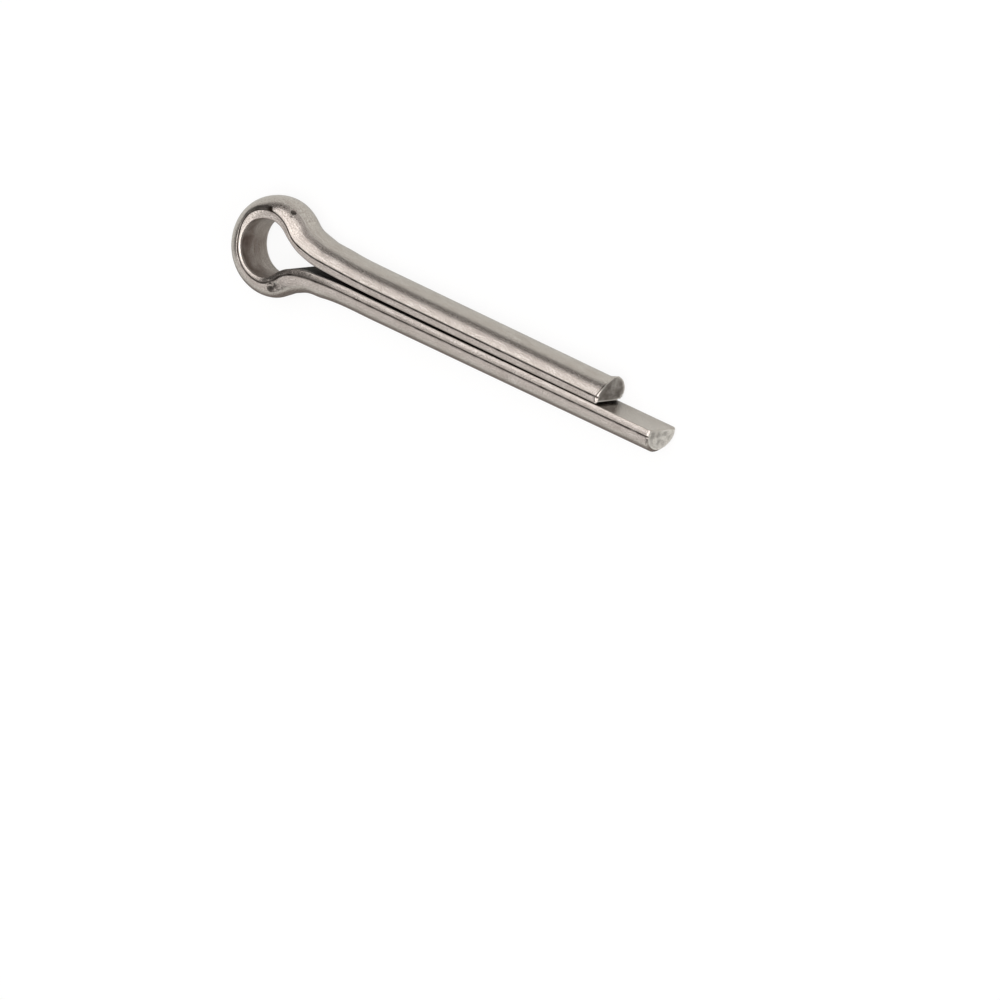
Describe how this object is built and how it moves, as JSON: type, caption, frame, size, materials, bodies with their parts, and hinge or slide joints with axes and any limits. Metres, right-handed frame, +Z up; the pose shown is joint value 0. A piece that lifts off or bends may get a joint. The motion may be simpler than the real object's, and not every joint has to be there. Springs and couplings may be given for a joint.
{
  "type": "split cotter pin",
  "caption": "Split cotter pin: half-round steel wire folded into a round eye and two flat-to-flat prongs of unequal length.",
  "frame": {"origin": "on the shank's axis where the prongs become straight, below the eye's necks", "axes": "+X along the prongs to their tips, +Y towards the short prong, +Z up along the eye's axis; the pin lies on its side"},
  "size_m": [0.0476, 0.0092, 0.0042],
  "materials": {
    "stainless_wire": "satin"
  },
  "bodies": {
    "root": {"split_pin": "stainless_wire"}
  },
  "joints": []
}
